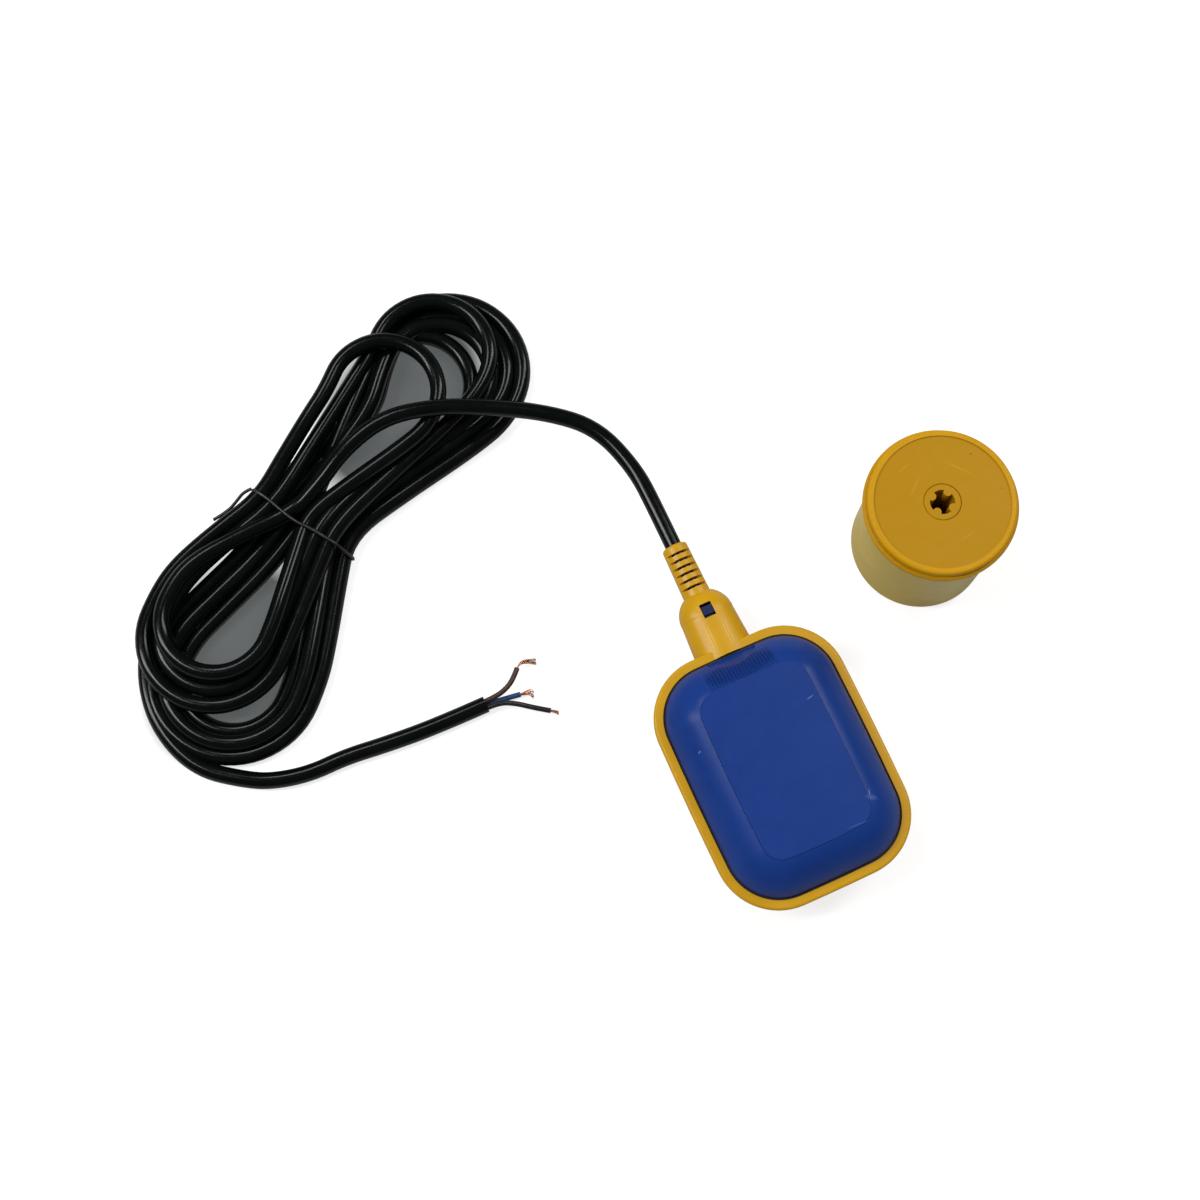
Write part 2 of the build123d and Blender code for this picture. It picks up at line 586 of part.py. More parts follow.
# Snap-action switch with its plunger, lever and tabs
def make_switch_case():
    half = SWITCH_WIDTH / 2
    case_top = SWITCH_TOP_Z - SWITCH_COVER
    case = block((-half, SWITCH_BACK_Y, SWITCH_LOW_Z), (half, SWITCH_FRONT_Y, case_top))
    for side in (-1, 1):
        inner = BALL_Z + side * (LEVER_WIDTH / 2 + LEVER_CLEARANCE)
        outer = inner + side * EAR_THICKNESS
        low_z, high_z = min(inner, outer), max(inner, outer)
        case += upright(EAR_RADIUS, low_z, high_z, LEVER_PIVOT_X, LEVER_PIVOT_Y)
        low = (LEVER_PIVOT_X - EAR_RADIUS, SWITCH_FRONT_Y - 1, low_z)
        case += block(low, (LEVER_PIVOT_X + EAR_RADIUS, LEVER_PIVOT_Y, high_z))
    pin_hole = LEVER_PIN_DIAMETER / 2 + FIT_GAP / 2
    case -= upright(pin_hole, SWITCH_LOW_Z, SWITCH_TOP_Z, LEVER_PIVOT_X, LEVER_PIVOT_Y)
    bore_y = SWITCH_FRONT_Y - PLUNGER_LENGTH - PLUNGER_TRAVEL / 2
    case -= along_y(PLUNGER_DIAMETER / 2 + PLUNGER_GAP, bore_y, SWITCH_FRONT_Y + 1, plunger_x(), BALL_Z)
    for x in (-TERMINAL_PITCH, 0, TERMINAL_PITCH):
        case -= terminal_blank(x, FIT_GAP / 2)
    for x, y in switch_hole_places():
        case -= upright(SWITCH_SCREW / 2 + FIT_GAP, SWITCH_LOW_Z - 1, SWITCH_TOP_Z, x, y)
    return case


def make_switch_cover():
    half = SWITCH_WIDTH / 2
    low_z = SWITCH_TOP_Z - SWITCH_COVER
    cover = block((-half, SWITCH_BACK_Y, low_z), (half, SWITCH_FRONT_Y, SWITCH_TOP_Z))
    cover = chamfer(cover.faces().sort_by(Axis.Z)[-1].edges(), SWITCH_COVER / 4)
    for x, y in switch_hole_places():
        cover -= upright(SWITCH_SCREW / 2 + FIT_GAP, low_z - 1, SWITCH_TOP_Z + 1, x, y)
    return cover


def make_switch_screws():
    length = SWITCH_TOP_Z - CAPSULE_FLOOR_Z - 1
    one = screw(SWITCH_SCREW, SWITCH_SCREW_HEAD, SCREW_HEAD_HEIGHT, length, SWITCH_TOP_Z)
    return Part() + [Pos(x, y, 0) * one for x, y in switch_hole_places()]


def plunger_x():
    """Place of the plunger, a fixed distance from the lever's pivot."""
    return LEVER_PIVOT_X - PLUNGER_FROM_PIVOT


def make_switch_plunger():
    pressed_y = LEVER_PIVOT_Y - LEVER_THICKNESS / 2 - LEVER_CLEARANCE
    rest_y = pressed_y + PLUNGER_TRAVEL
    bar = along_y(PLUNGER_DIAMETER / 2, rest_y - PLUNGER_LENGTH, rest_y, plunger_x(), BALL_Z)
    return fillet(bar.edges().sort_by(Axis.Y)[-1], PLUNGER_DIAMETER / 5)


def make_switch_lever():
    low_z = BALL_Z - LEVER_WIDTH / 2
    high_z = BALL_Z + LEVER_WIDTH / 2
    half = LEVER_THICKNESS / 2
    strip = block((-LEVER_LENGTH, -half, low_z), (0, half, high_z))
    tip = upright(2 * half, low_z, high_z, -LEVER_LENGTH, half)
    knuckle = upright(LEVER_KNUCKLE_RADIUS, low_z, high_z)
    lever = strip + tip + knuckle
    lever -= upright(LEVER_PIN_DIAMETER / 2 + FIT_GAP / 2, low_z - 1, high_z + 1)
    return Pos(LEVER_PIVOT_X, LEVER_PIVOT_Y, 0) * Rot(0, 0, -LEVER_ANGLE) * lever


def make_lever_pin():
    reach = LEVER_WIDTH / 2 + LEVER_CLEARANCE + EAR_THICKNESS
    return upright(LEVER_PIN_DIAMETER / 2, BALL_Z - reach, BALL_Z + reach, LEVER_PIVOT_X, LEVER_PIVOT_Y)


def terminal_blank(x, grow):
    """Flat tab that stands out of the back of the switch."""
    half = TERMINAL_THICKNESS / 2 + grow
    low = (x - half, SWITCH_BACK_Y - TERMINAL_LENGTH - grow, BALL_Z - TERMINAL_WIDTH / 2 - grow)
    high = (x + half, SWITCH_BACK_Y + TERMINAL_ROOT + grow, BALL_Z + TERMINAL_WIDTH / 2 + grow)
    return block(low, high)


def make_terminal(x):
    hole_y = SWITCH_BACK_Y - 0.8 * TERMINAL_LENGTH
    hole = Pos(x, hole_y, BALL_Z - TERMINAL_WIDTH / 4) * Rot(0, 90, 0) * Cylinder(TERMINAL_HOLE / 2, 4)
    return terminal_blank(x, 0) - hole


# What holds and seals the cable where it enters the float
def make_capsule_grommet():
    wall_y = CAPSULE_LENGTH / 2 - CAPSULE_WALL
    start_y = wall_y - GROMMET_LIP
    end_y = CAPSULE_LENGTH / 2 + GROMMET_LIP
    grommet = along_y(GROMMET_DIAMETER / 2 - FIT_GAP / 2, start_y, end_y)
    grommet += along_y(GROMMET_FLANGE / 2, start_y, wall_y)
    grommet += along_y(GROMMET_FLANGE / 2, CAPSULE_LENGTH / 2, end_y)
    return grommet - along_y(CABLE_RADIUS + CABLE_BORE_GAP, start_y - 1, end_y + 1)


def make_potting_plug():
    start_y = BODY_LENGTH / 2 + BULKHEAD
    end_y = start_y + POTTING_LENGTH
    room = neck_blank(NECK_WALL + FIT_GAP, start_y)
    cut = NECK_BASE_WIDTH
    plug = room & block((-cut, start_y, 0), (cut, end_y, tongue_low_z() - FIT_GAP))
    return plug - along_y(CABLE_RADIUS + CABLE_BORE_GAP, start_y - 1, end_y + 1)


def make_cable_ferrule():
    start_y = BODY_LENGTH / 2 + FERRULE_FROM_BODY
    ring = along_y(FERRULE_DIAMETER / 2, start_y, start_y + FERRULE_LENGTH)
    ring -= along_y(CABLE_RADIUS + CABLE_BORE_GAP, start_y - 1, start_y + FERRULE_LENGTH + 1)
    roof_z = tongue_low_z() - FIT_GAP
    return ring - block((-FERRULE_DIAMETER, start_y - 1, roof_z),
                        (FERRULE_DIAMETER, start_y + FERRULE_LENGTH + 1, BODY_THICKNESS))


def make_cable_entry():
    return along_y(CABLE_RADIUS, JACKET_END_Y, BOOT_END_Y)


# Counterweight, which threads on the cable and stands by itself here
def at_weight(solid):
    """Places a piece drawn on the Z axis at the counterweight."""
    return Pos(WEIGHT_X, WEIGHT_Y, 0) * solid


def make_weight_shell():
    radius = WEIGHT_DIAMETER / 2
    cup = upright(radius, 0, CAP_FLANGE_Z)
    cup = fillet(cup.edges().sort_by(Axis.Z)[0], WEIGHT_WALL * 0.8)
    cup -= upright(radius - WEIGHT_WALL, WEIGHT_WALL, WEIGHT_HEIGHT)
    return at_weight(cup - upright(SLEEVE_DIAMETER / 2 + SLEEVE_GAP, -1, WEIGHT_HEIGHT))


def make_weight_cap():
    plug_radius = WEIGHT_DIAMETER / 2 - WEIGHT_WALL - FIT_GAP
    step_z = CAP_FLANGE_Z + CAP_FLANGE_THICKNESS
    flange = upright(CAP_FLANGE_RADIUS, CAP_FLANGE_Z, step_z)
    flange = fillet(flange.edges().filter_by(GeomType.CIRCLE), CAP_FLANGE_THICKNESS / 3)
    ring = upright(CAP_RING_RADIUS, step_z - 1, WEIGHT_HEIGHT)
    ring = fillet(ring.edges().sort_by(Axis.Z)[-1], CAP_RING_WIDTH / 2)
    cap = flange + ring + upright(plug_radius, CAP_FLANGE_Z - CAP_PLUG_DEPTH, step_z)
    face_z = WEIGHT_HEIGHT - CAP_FACE_RECESS
    cap -= upright(CAP_FACE_RADIUS, face_z, WEIGHT_HEIGHT + 1)
    cap -= upright(plug_radius - WEIGHT_WALL, CAP_FLANGE_Z - CAP_PLUG_DEPTH - 1, face_z - CAP_PLATE)
    return at_weight(cap - upright(SLEEVE_DIAMETER / 2 + SLEEVE_GAP, 0, WEIGHT_HEIGHT + 1))


def make_weight_slug():
    slug = upright(SLUG_RADIUS, WEIGHT_WALL + SLUG_SEAT_GAP, WEIGHT_WALL + SLUG_HEIGHT)
    slug = fillet(slug.edges(), 1)
    return at_weight(slug - upright(SLUG_BORE_RADIUS, 0, WEIGHT_HEIGHT))


def make_cable_sleeve():
    """Sleeve with four round teeth at its mouth, which hold the cable."""
    top_z = WEIGHT_HEIGHT - CAP_FACE_RECESS
    sleeve = upright(SLEEVE_DIAMETER / 2, 0, top_z)
    sleeve = chamfer(sleeve.edges().sort_by(Axis.Z)[-1], 2 * SLEEVE_GAP)
    sleeve -= upright(SLEEVE_BORE / 2, -1, top_z + 1)
    sleeve -= upright(TOOTH_SEAT_BORE / 2, top_z - TOOTH_HEIGHT, top_z + 1)
    for i in range(TOOTH_COUNT):
        tooth = upright(TOOTH_DIAMETER / 2, top_z - TOOTH_HEIGHT, top_z, SLEEVE_BORE / 2)
        sleeve += Rot(0, 0, TOOTH_TURN + i * 360 / TOOTH_COUNT) * tooth
    return at_weight(sleeve)


# Hank of spare cable, as the outer form of its tied loops
def at_tie(solid):
    """Places a piece drawn across the X axis at the hank's waist."""
    return Pos(TIE_X, TIE_Y, 0) * Rot(0, 0, TIE_TURN) * solid


def tie_loop(inner_grow, outer_grow, width):
    """Closed band round the hank's waist."""
    def oval(grow):
        height = HANK_HEIGHT - TIE_THICKNESS + 2 * grow
        middle = (HANK_HEIGHT + TIE_THICKNESS) / 2
        face = RectangleRounded(TIE_SPAN + 2 * grow, height, TIE_CORNER + grow)
        return extrude(Pos(0, 0, middle) * Rot(90, 0, 0) * face, width / 2, both=True)
    return oval(outer_grow) - oval(inner_grow)


def make_cable_hank():
    outer = make_face(Spline(*HANK_OUTLINE, periodic=True))
    hank = extrude(outer, HANK_HEIGHT)
    hank = chamfer(hank.faces().sort_by(Axis.Z)[-1].edges(), HANK_EDGE)
    upper_gap = extrude(Ellipse(*UPPER_GAP_SIZE), HANK_HEIGHT)
    upper_gap = Pos(*UPPER_GAP_PLACE) * Rot(0, 0, UPPER_GAP_TURN) * upper_gap
    lower_gap = extrude(Ellipse(*LOWER_GAP_SIZE), HANK_HEIGHT)
    lower_gap = Pos(*LOWER_GAP_PLACE) * Rot(0, 0, LOWER_GAP_TURN) * lower_gap
    clearance = tie_loop(-TIE_GAP, HANK_HEIGHT, TIE_WIDTH + 2 * TIE_GAP)
    return hank - upper_gap - lower_gap - at_tie(clearance)


def make_hank_tie():
    loop = tie_loop(0, TIE_THICKNESS, TIE_WIDTH)
    end = Cylinder(TIE_WIDTH / 2, TIE_END_LENGTH, align=(Align.CENTER, Align.CENTER, Align.MIN))
    start = (-TIE_SPAN / 2 - TIE_THICKNESS / 2, 0, HANK_HEIGHT / 2)
    return at_tie(loop + Pos(*start) * Rot(0, -TIE_END_TILT, 0) * end)


PIECES = {
    "outer_shell": make_outer_shell,
    "top_cover": make_top_cover,
    "cover_seal": make_cover_seal,
    "foam_core": make_foam_core,
    "capsule_base": make_capsule_base,
    "capsule_lid": make_capsule_lid,
    "capsule_gasket": make_capsule_gasket,
    "capsule_screws": make_capsule_screws,
    "ball_weight": make_ball_weight,
    "ball_track": make_ball_track,
    "switch_case": make_switch_case,
    "switch_cover": make_switch_cover,
    "switch_screws": make_switch_screws,
    "switch_plunger": make_switch_plunger,
    "switch_lever": make_switch_lever,
    "lever_pin": make_lever_pin,
    "terminal_closed": lambda: make_terminal(-TERMINAL_PITCH),
    "terminal_common": lambda: make_terminal(0),
    "terminal_open": lambda: make_terminal(TERMINAL_PITCH),
    "capsule_grommet": make_capsule_grommet,
    "potting_plug": make_potting_plug,
    "cable_ferrule": make_cable_ferrule,
    "cable_entry": make_cable_entry,
    "cable_lead": lambda: route_tube("cable_lead", LEAD_ROUTE, CABLE_DIAMETER),
    "cable_hank": make_cable_hank,
    "cable_tail": lambda: route_tube("cable_tail", TAIL_ROUTE, CABLE_DIAMETER),
    "hank_tie": make_hank_tie,
    "weight_shell": make_weight_shell,
    "weight_cap": make_weight_cap,
    "weight_slug": make_weight_slug,
    "cable_sleeve": make_cable_sleeve,
}
for prefix, routes, diameter in (
    ("inner_core", INNER_CORE_ROUTES, CORE_DIAMETER),
    ("core", CORE_ROUTES, CORE_DIAMETER),
    ("strands", STRAND_ROUTES, STRAND_DIAMETER),
):
    for colour, route in routes.items():
        name = f"{prefix}_{colour}"
        PIECES[name] = lambda n=name, r=route, d=diameter: route_tube(n, r, d)

for name, make in PIECES.items():
    export_step(make(), f"parts/{name}.step")
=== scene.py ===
import bmesh
import bpy
import math
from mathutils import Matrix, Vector


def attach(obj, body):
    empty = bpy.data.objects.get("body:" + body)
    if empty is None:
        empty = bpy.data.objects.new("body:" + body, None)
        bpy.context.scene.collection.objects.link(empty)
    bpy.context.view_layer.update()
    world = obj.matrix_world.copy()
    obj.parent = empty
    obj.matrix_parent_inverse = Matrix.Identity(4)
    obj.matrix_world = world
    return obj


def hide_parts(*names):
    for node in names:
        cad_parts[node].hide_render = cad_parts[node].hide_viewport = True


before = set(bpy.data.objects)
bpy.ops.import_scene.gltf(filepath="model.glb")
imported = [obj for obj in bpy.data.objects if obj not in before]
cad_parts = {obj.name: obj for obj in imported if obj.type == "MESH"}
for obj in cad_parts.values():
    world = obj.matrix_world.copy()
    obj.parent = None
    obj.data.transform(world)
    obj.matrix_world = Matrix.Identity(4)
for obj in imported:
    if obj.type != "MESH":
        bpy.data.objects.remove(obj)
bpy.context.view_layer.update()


# Camera. It looks down at the middle of the picture, from the angle and the distance of the photograph, and
# its lens takes in the float, the hank and the counterweight with room around them.
CAMERA_PLACE = (-0.11057, -0.07114, 0.76717)
CAMERA_AIM = (-0.03486, 0.09599, 0.0)
CAMERA_LENS = 57.0
CAMERA_SENSOR = 36.0


def facing(place, aim):
    """Turn of a camera or a lamp that looks from a place at a point."""
    return (Vector(aim) - Vector(place)).to_track_quat("-Z", "Y").to_euler()


camera_data = bpy.data.cameras.new("camera")
camera_data.lens = CAMERA_LENS
camera_data.sensor_width = CAMERA_SENSOR
camera = bpy.data.objects.new("camera", camera_data)
bpy.context.collection.objects.link(camera)
camera.location = CAMERA_PLACE
camera.rotation_euler = facing(CAMERA_PLACE, CAMERA_AIM)
bpy.context.scene.camera = camera


# Cable. A round three-core lead with a plastic jacket, 7 mm thick. It comes out of the boot, goes under the
# tie and round the turns of a flat hank wound by hand, and ends in a free tail on the floor. A turn of the
# hank is two end loops, given by how far they reach and spread.
MM = 0.001
CABLE_DIAMETER = 0.007
LEAD_ROUTE = [
    (0, 0.09995, 0.018), (0, 0.118, 0.018), (-0.0004, 0.137, 0.0172), (-0.0075, 0.160, 0.0168),
    (-0.024, 0.1745, 0.0176), (-0.046, 0.186, 0.0204), (-0.066, 0.1948, 0.0214), (-0.087, 0.199, 0.0210),
    (-0.107, 0.1935, 0.0195), (-0.1215, 0.1855, 0.0160),
]
TAIL_ROUTE = [
    (-0.1975, 0.087, 0.0035), (-0.1875, 0.0814, 0.0035), (-0.172, 0.0778, 0.0035), (-0.156, 0.0782, 0.0035),
    (-0.1395, 0.0762, 0.0035), (-0.1175, 0.0746, 0.0035), (-0.0955, 0.0746, 0.0035),
]
# The hank's waist on the floor and its two directions there; all that follows is in millimetres from it
WAIST = Vector((-132.6, 177.2))
ALONG = Vector((0.71, 0.704))
ACROSS = Vector((0.704, -0.71))
# Heights of the two layers of strands at the waist
TOP_ROW = 11.9
LOW_ROW = 4.9
# Control points round the half-turn at a loop's end, in degrees, and how far outside its circle they lie
HALF_TURN = range(-18, 199, 36)
OUTSIDE = 1.0515
# Shares of the way from the waist to the half-turn where a side has a control point, and the share of its
# swing from its slot at the waist to the loop's edge that it has made at each of them
SIDE_SHARES = (0.36, 0.74)
LEFT_SWING = {
    ("lower", TOP_ROW): (0.46, 0.88),
    ("lower", LOW_ROW): (0.25, 0.70),
    ("upper", TOP_ROW): (0.33, 0.72),
    ("upper", LOW_ROW): (0.55, 1.2),
}
RIGHT_SWING = (0.36, 0.77)
INNER_SWING = (0.25, 0.71)
# A side changes from its row's height to the loop's own faster than it goes along
CLIMB = 1.3
# Each end loop: its lobe, reach, left edge, right edge, left and right slot at the waist (place and row),
# heights of its two sides, and the swing of its right side where that isn't the usual one
END_LOOPS = [
    ("lower", 76.5, -37.0, 7.5, (-4.0, TOP_ROW), (2.0, TOP_ROW), (16.0, 16.0)),
    ("upper", 82.5, -11.0, 34.5, (-19.5, TOP_ROW), (2.0, TOP_ROW), (16.5, 16.0)),
    ("lower", 89.0, -43.0, 15.0, (-19.5, TOP_ROW), (14.5, TOP_ROW), (10.3, 10.2)),
    ("upper", 108.5, -1.5, 47.5, (-12.5, TOP_ROW), (14.5, TOP_ROW), (9.8, 9.8)),
    ("lower", 82.0, -36.0, 8.2, (-12.5, TOP_ROW), (8.5, TOP_ROW), (10.4, 9.9)),
    ("upper", 93.0, -0.5, 44.0, (0.0, LOW_ROW), (8.5, TOP_ROW), (7.0, 3.8), INNER_SWING),
    ("lower", 94.5, -23.0, 21.2, (0.0, LOW_ROW), (6.0, LOW_ROW), (3.6, 3.6)),
    ("upper", 100.0, 5.5, 50.5, (-6.5, LOW_ROW), (6.0, LOW_ROW), (9.8, 5.0)),
    ("lower", 100.0, -29.0, 26.7, (-6.5, LOW_ROW), (12.5, LOW_ROW), (6.8, 6.8)),
    ("upper", 106.5, 5.0, 56.0, (-13.0, LOW_ROW), (12.5, LOW_ROW), (3.6, 3.6)),
    ("lower", 105.3, -35.3, 32.0, (-13.0, LOW_ROW), (19.0, LOW_ROW), (3.6, 3.6)),
    ("upper", 113.5, -2.0, 62.5, (-19.5, LOW_ROW), (19.0, LOW_ROW), (3.6, 3.6)),
]
# The last side, which leaves the waist along the lower lobe's left and turns into the tail
LAST_SIDE = [
    (0, -19.5, 4.9), (-16, -28.5, 4.2), (-38, -39, 3.5), (-60, -42.5, 3.5),
    (-81, -38, 3.5), (-97.5, -27, 3.5), (-107.5, -13, 3.5), (-112, 2, 3.5),
]


def smooth_curve(name, routes, radius, closed=False, resolution=6):
    """Round tube along one smooth line for each route; its points carry the radius, so its bevel is 1."""
    data = bpy.data.curves.new(name, "CURVE")
    data.dimensions = "3D"
    data.bevel_depth = 1.0
    data.bevel_resolution = 5
    data.resolution_u = resolution
    data.use_fill_caps = not closed
    for route in routes:
        spline = data.splines.new("NURBS")
        spline.points.add(len(route) - 1)
        for point, place in zip(spline.points, route):
            point.co = (*place, 1)
            point.radius = radius
        spline.use_cyclic_u = closed
        spline.order_u = 3
        spline.use_endpoint_u = not closed
    piece = bpy.data.objects.new(name, data)
    bpy.context.collection.objects.link(piece)
    return piece


def in_hank(u, v, z):
    """Place in metres of a point given along and across the hank from its waist, in millimetres."""
    place = WAIST + ALONG * u + ACROSS * v
    return (place.x * MM, place.y * MM, z * MM)


def loop_side(end, way, edge, slot, height, swing):
    """Control points of one side of an end loop, from the waist outwards."""
    points = [in_hank(0, *slot)]
    for share, swung in zip(SIDE_SHARES, swing):
        v = slot[0] + (edge - slot[0]) * swung
        z = slot[1] + (height - slot[1]) * min(1, CLIMB * share)
        points.append(in_hank(end * way * share, v, z))
    return points


def end_loop(kind, reach, left, right, left_slot, right_slot, heights, right_swing=RIGHT_SWING):
    """Control points of one end loop, from its left slot at the waist round to its right one."""
    end = -1 if kind == "lower" else 1
    half = (right - left) / 2
    straight = reach - half
    first, last = HALF_TURN[0], HALF_TURN[-1]
    way = straight + half * OUTSIDE * math.sin(math.radians(first))
    points = loop_side(end, way, left, left_slot, heights[0], LEFT_SWING[kind, left_slot[1]])
    for angle in HALF_TURN:
        out = half * OUTSIDE * math.sin(math.radians(angle))
        across = half * OUTSIDE * math.cos(math.radians(angle))
        height = heights[0] + (heights[1] - heights[0]) * (angle - first) / (last - first)
        points.append(in_hank(end * (straight + out), left + half - across, height))
    return points + loop_side(end, way, right, right_slot, heights[1], right_swing)[::-1]


cable_route = list(LEAD_ROUTE)
for loop in END_LOOPS:
    points = end_loop(*loop)
    cable_route += points[:-1] if loop[0] == "lower" else points[:0:-1]
cable_route += [in_hank(*point) for point in LAST_SIDE]
cable_route += TAIL_ROUTE
cable = smooth_curve("cable", [cable_route], CABLE_DIAMETER / 2)
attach(cable, "root")
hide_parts("cable_lead", "cable_hank", "cable_tail")


# Tie. A thin wire in a black plastic skin, bent round the hank's waist by hand to hold the turns together.
# One of its ends stands off to the left. Its points are along and across the hank.
TIE_DIAMETER = 0.0014
TIE_LOOP = [
    (2.0, -23.6, 9), (1.7, -23.0, 15.4), (0.2, -16, 16.6), (-2.9, -7.6, 16.4), (-5.1, -0.3, 16.6),
    (-5.5, 7.1, 16.4), (-6.8, 13.5, 16.4), (-7.8, 18.8, 15.6), (-8.6, 22.3, 11), (-9.0, 25.4, 6.5),
    (-8.6, 24.2, 0.9), (-3.9, 3.4, 0.8), (1.5, -21.5, 1.0),
]
TIE_END = [(1.9, -23.7, 14.2), (-0.5, -26.3, 14), (-4.5, -27.9, 12), (-9.7, -30.2, 10), (-14.8, -34.7, 8.5)]


def add_node(material, kind, **values):
    """Shader node with its settings; a value whose name is an input socket's is set on that socket."""
    node = material.node_tree.nodes.new(kind)
    for key, value in values.items():
        if key in node.inputs:
            node.inputs[key].default_value = value
        else:
            setattr(node, key, value)
    return node


def join(material, source, target):
    """Link between two sockets."""
    material.node_tree.links.new(source, target)


def noise(material, scale):
    """Noise pattern in the object's own coordinates, in features per metre."""
    place = add_node(material, "ShaderNodeTexCoord")
    pattern = add_node(material, "ShaderNodeTexNoise", Scale=scale, Detail=3.0)
    join(material, place.outputs["Object"], pattern.inputs["Vector"])
    return pattern.outputs["Fac"]


def ramp(material, source, low, high):
    """Colour ramp over a pattern, between two stops of a place and a colour."""
    node = add_node(material, "ShaderNodeValToRGB")
    for element, (place, colour) in zip(node.color_ramp.elements, (low, high)):
        element.position = place
        element.color = (*colour, 1)
    join(material, source, node.inputs["Fac"])
    return node.outputs["Color"]


def bump(material, source, strength, depth):
    """Bump from a pattern, with its depth in metres."""
    node = add_node(material, "ShaderNodeBump", Strength=strength, Distance=depth)
    join(material, source, node.inputs["Height"])
    return node.outputs["Normal"]


# Places in a noise pattern between which the colour and the gloss change, and how much finer the gloss is
MOTTLE_STOPS = (0.35, 0.65)
GLOSS_STOPS = (0.35, 0.7)
GLOSS_FINENESS = 4
GRAIN_STRENGTH = 0.5


def surface(name, dark, light, roughness, grain, depth, mottle=60.0, metallic=0.0, specular=0.5):
    """Material of two mottled colours, uneven gloss and a fine grain; mottle and grain are per metre."""
    made = bpy.data.materials.new(name)
    made.use_nodes = True
    shader = made.node_tree.nodes["Principled BSDF"]
    shader.inputs["Metallic"].default_value = metallic
    shader.inputs["Specular IOR Level"].default_value = specular
    colour = ramp(made, noise(made, mottle), (MOTTLE_STOPS[0], dark), (MOTTLE_STOPS[1], light))
    smooth, rough = ((value,) * 3 for value in roughness)
    gloss_noise = noise(made, mottle * GLOSS_FINENESS)
    gloss = ramp(made, gloss_noise, (GLOSS_STOPS[0], smooth), (GLOSS_STOPS[1], rough))
    join(made, colour, shader.inputs["Base Color"])
    join(made, gloss, shader.inputs["Roughness"])
    join(made, bump(made, noise(made, grain), GRAIN_STRENGTH, depth), shader.inputs["Normal"])
    return made


def dress(material, *names):
    """Gives a material to CAD nodes."""
    for name in names:
        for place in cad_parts[name].material_slots:
            place.material = material


tie = smooth_curve("twist_tie", [[in_hank(*point) for point in TIE_LOOP]], TIE_DIAMETER / 2, closed=True)
tie_end = smooth_curve("twist_tie_end", [[in_hank(*point) for point in TIE_END]], TIE_DIAMETER / 2)
tie_plastic = surface("tie_plastic", dark=(0.006, 0.006, 0.006), light=(0.012, 0.012, 0.012),
                      roughness=(0.3, 0.45), grain=1800, depth=0.00005)
for piece in (tie, tie_end):
    piece.data.materials.append(tie_plastic)
    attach(piece, "root")
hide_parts("hank_tie")


# Cores and their wires. Three stranded copper cores, each in a skin of coloured plastic, come out of the
# jacket's cut end. The skin is stripped off their ends, where each core's bare wires fray apart.
CORE_DIAMETER = 0.0022
WIRE_DIAMETER = 0.00032
# Routes in millimetres, of each core's insulation and of the middle of its bare wires
CORE_ROUTES = {
    "brown": [(-95.5, 75.7, 4.2), (-90, 75.7, 4.2), (-84.6, 77.3, 4.6), (-81, 79.8, 4.4), (-78, 83, 4.0)],
    "blue": [(-95.5, 74.3, 1.9), (-90.8, 74.3, 1.9), (-86, 73.6, 1.6), (-81, 72.9, 1.6)],
    "black": [(-95.5, 72.8, 4.4), (-90.5, 72.8, 4.4), (-84.5, 70.1, 3.2), (-78.5, 65.7, 1.7),
              (-72.5, 61.6, 1.4)],
}
WIRE_ROUTES = {
    "brown": [(-78.4, 82.6, 4.0), (-76.5, 84.6, 3.8), (-73.6, 84.4, 2.8), (-69.8, 82.6, 2.2)],
    "blue": [(-81.6, 73, 1.6), (-79.2, 72.65, 1.6), (-77.3, 72.2, 2.2), (-76.2, 70.4, 2.0)],
    "black": [(-73, 61.9, 1.4), (-71.3, 60.8, 1.34), (-69.9, 59.4, 1.0)],
}
CORE_COLOURS = {
    "brown": ((0.034, 0.015, 0.009), (0.055, 0.025, 0.015)),
    "blue": ((0.009, 0.034, 0.125), (0.013, 0.052, 0.18)),
    "black": ((0.006, 0.007, 0.006), (0.011, 0.013, 0.012)),
}
WIRE_COUNT = {"brown": 12, "blue": 11, "black": 8}
# How far the wires have spread at their tips, beyond the bunch's own radius, and how late they do so
FRAY = {"brown": 0.9, "blue": 1.5, "black": 0.5}
FRAY_POWER = 1.6
BUNCH_RADIUS = 0.42
# Turn from wire to wire round the bunch, and from point to point along a wire, in radians
GOLDEN_TURN = 2.399963
TWIST = 0.5
# Each wire's own wobble: its size, and its steps from wire to wire and from point to point
WOBBLE = 0.25
WIRE_WOBBLE = 3.1
POINT_WOBBLE = 1.7
# Share of the spread that goes along the bunch and up, and the lowest that a wire's middle may lie
SPREAD_ALONG = 0.4
SPREAD_UP = 0.7
LOWEST_WIRE = 0.2


def frayed_wire(route, number, count, fray):
    """Points of one bare wire, which lies near the route of its bunch and strays towards the tip."""
    turn = number * GOLDEN_TURN
    out = math.sqrt((number + 0.5) / count)
    wire = []
    for step, (x, y, z) in enumerate(route):
        loose = BUNCH_RADIUS + fray * (step / (len(route) - 1)) ** FRAY_POWER
        wobble = WOBBLE * math.sin(WIRE_WOBBLE * number + POINT_WOBBLE * step)
        across = out * loose * math.cos(turn + TWIST * step)
        high = out * loose * math.sin(turn + TWIST * step)
        wire_x = x + SPREAD_ALONG * across + wobble * SPREAD_ALONG
        wire_z = max(LOWEST_WIRE, z + SPREAD_UP * high)
        wire.append((wire_x * MM, (y + across) * MM, wire_z * MM))
    return wire


